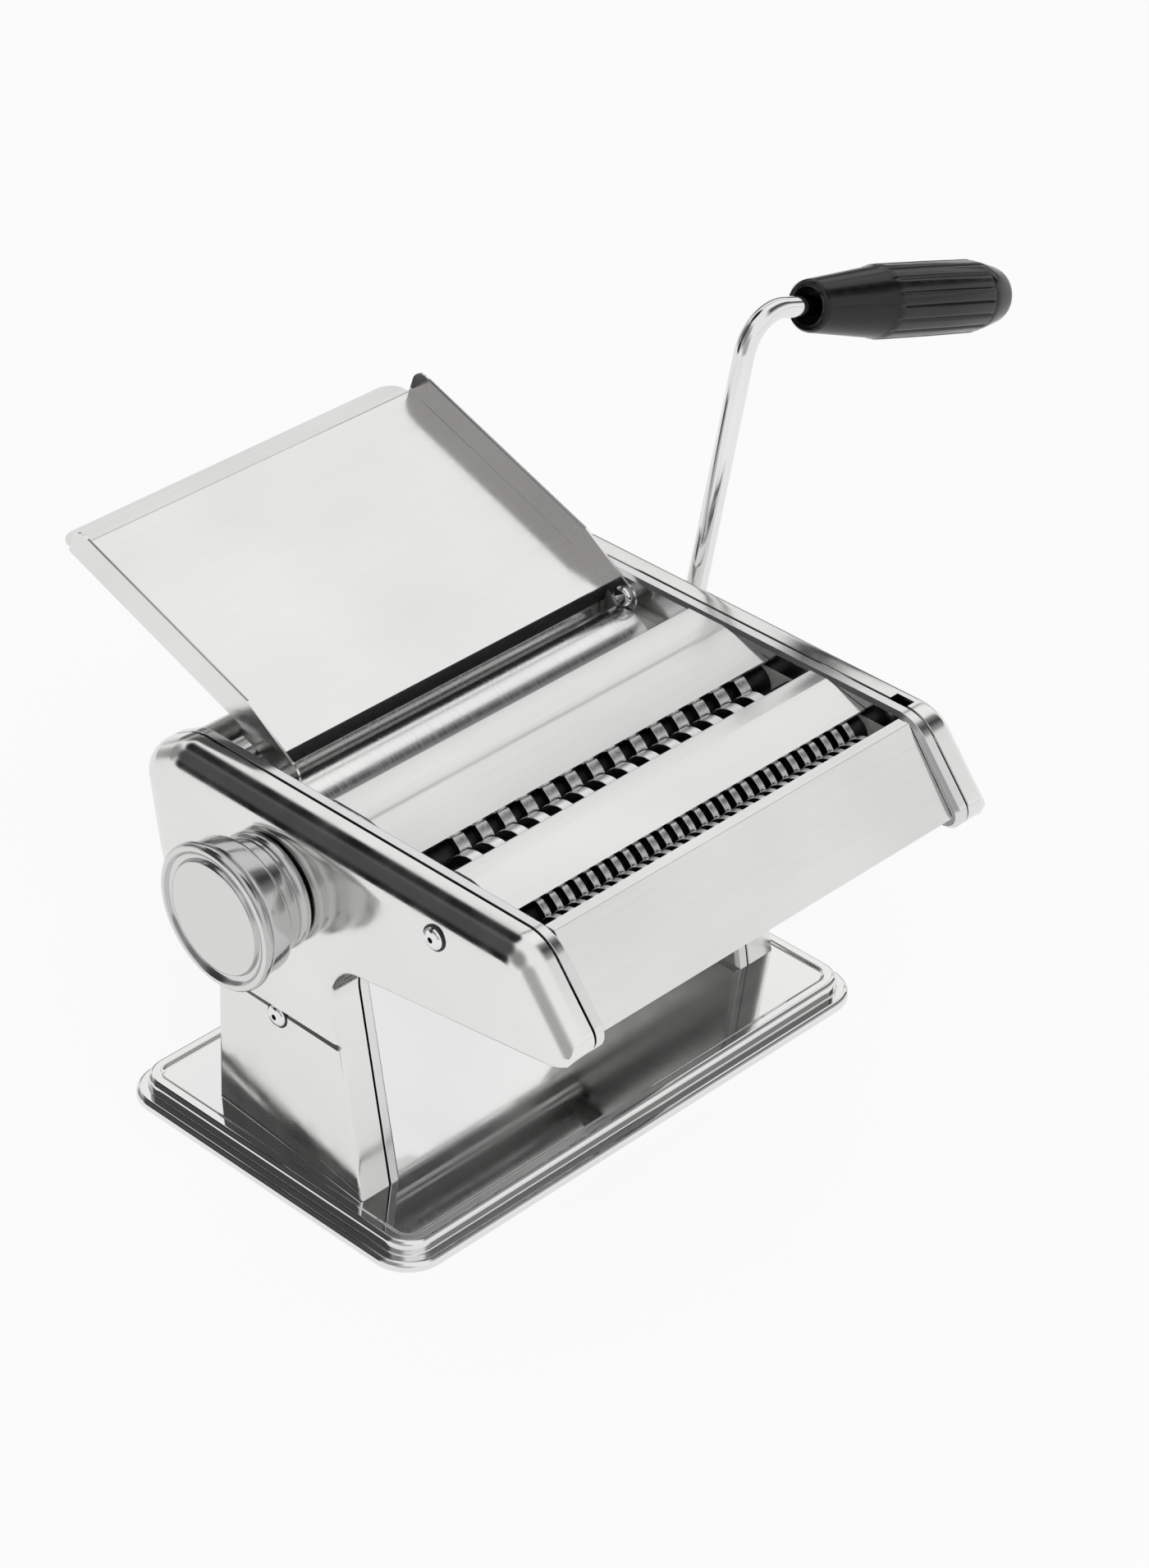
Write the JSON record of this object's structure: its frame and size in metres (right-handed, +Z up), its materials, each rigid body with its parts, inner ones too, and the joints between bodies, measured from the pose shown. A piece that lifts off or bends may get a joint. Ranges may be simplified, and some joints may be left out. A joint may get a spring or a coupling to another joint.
{
  "type": "pasta roller machine",
  "caption": "hand-cranked pasta machine: smooth rollers with a gap knob, wide and fine cutters, feed tray, polished steel cheeks on a flat base",
  "frame": {"origin": "middle of the base, on the table", "axes": "+X along the rollers to the crank side, -Y the front with the cutters, +Z up"},
  "size_m": [0.3704, 0.2477, 0.219],
  "materials": {
    "polished_steel": "polished sheet steel",
    "inner_steel": "plain steel",
    "roller_steel": "ground, plated",
    "pale_nylon": "moulded",
    "crank_chrome": "bright plated",
    "satin_aluminium": "satin turned",
    "black_plastic": "gloss",
    "black_rubber": "matt"
  },
  "bodies": {
    "frame": {"base_shell": "polished_steel", "rubber_feet": "black_rubber", "left_side_plate": "polished_steel", "right_side_plate": "polished_steel", "left_cover": "polished_steel", "right_cover": "polished_steel", "cover_posts": "inner_steel", "tie_rods": "inner_steel", "rear_top_sheet": "polished_steel", "middle_top_sheet": "polished_steel", "front_panel": "polished_steel", "rear_panel": "polished_steel", "drive_bushes": "pale_nylon", "front_scraper": "inner_steel", "index_ring": "inner_steel", "wide_bearing_blocks": "pale_nylon", "wide_combs": "inner_steel", "fine_bearing_blocks": "pale_nylon", "fine_combs": "inner_steel", "tray_pins": "inner_steel"},
    "drive_roller": {"drive_roller": "roller_steel"},
    "carriage": {"left_carriage": "inner_steel", "right_carriage": "inner_steel", "carriage_bar": "inner_steel", "rear_bushes": "pale_nylon", "rear_scraper": "inner_steel"},
    "rear_roller": {"rear_roller": "roller_steel"},
    "regulator": {"regulator_spindle": "inner_steel", "gap_cam": "inner_steel"},
    "knob": {"regulator_knob": "satin_aluminium", "knob_spring": "inner_steel"},
    "wide_front": {"wide_cutter_front": "roller_steel"},
    "wide_rear": {"wide_cutter_rear": "roller_steel"},
    "fine_front": {"fine_cutter_front": "roller_steel"},
    "fine_rear": {"fine_cutter_rear": "roller_steel"},
    "crank": {"crank_rod": "crank_chrome"},
    "grip": {"grip": "black_plastic", "grip_end_cap": "black_plastic"},
    "tray": {"feed_tray": "polished_steel"}
  },
  "joints": [
    {"name": "drive_spin", "type": "hinge", "parent": "frame", "child": "drive_roller", "pos_m": [0, 0.012, 0.119], "axis": [1, 0, 0], "continuous": true},
    {"name": "carriage_slide", "type": "slide", "parent": "frame", "child": "carriage", "axis": [0, -1, 0], "range_m": [0, 0.0022]},
    {"name": "rear_spin", "type": "hinge", "parent": "carriage", "child": "rear_roller", "pos_m": [0, 0.0396, 0.119], "axis": [1, 0, 0], "continuous": true},
    {"name": "regulator_turn", "type": "hinge", "parent": "frame", "child": "regulator", "pos_m": [-0.09, -0.0005, 0.111], "axis": [1, 0, 0], "range_deg": [0, 320]},
    {"name": "knob_pull", "type": "slide", "parent": "regulator", "child": "knob", "axis": [-1, 0, 0], "range_m": [0, 0.004], "stiffness_N_per_m": 500},
    {"name": "wide_spin", "type": "hinge", "parent": "frame", "child": "wide_front", "pos_m": [0, -0.057, 0.126], "axis": [1, 0, 0], "continuous": true},
    {"name": "wide_rear_spin", "type": "hinge", "parent": "frame", "child": "wide_rear", "pos_m": [0, -0.041, 0.126], "axis": [1, 0, 0], "continuous": true},
    {"name": "fine_spin", "type": "hinge", "parent": "frame", "child": "fine_front", "pos_m": [0, -0.098, 0.126], "axis": [1, 0, 0], "continuous": true},
    {"name": "fine_rear_spin", "type": "hinge", "parent": "frame", "child": "fine_rear", "pos_m": [0, -0.082, 0.126], "axis": [1, 0, 0], "continuous": true},
    {"name": "crank_pull", "type": "slide", "parent": "drive_roller", "child": "crank", "axis": [1, 0, 0], "range_m": [0, 0.024]},
    {"name": "grip_spin", "type": "hinge", "parent": "crank", "child": "grip", "pos_m": [0.15444, 0.012, 0.21077], "axis": [0.9511, 0, -0.309], "continuous": true},
    {"name": "tray_tilt", "type": "hinge", "parent": "frame", "child": "tray", "pos_m": [0, 0.01449, 0.13502], "axis": [1, 0, 0], "range_deg": [0, 60]}
  ],
  "couplings": [
    {"joint": "rear_spin", "follows": "drive_spin", "ratio": -1},
    {"joint": "regulator_turn", "follows": "carriage_slide", "rad_per_m": 2538.6},
    {"joint": "wide_rear_spin", "follows": "wide_spin", "ratio": -1},
    {"joint": "fine_rear_spin", "follows": "fine_spin", "ratio": -1}
  ]
}
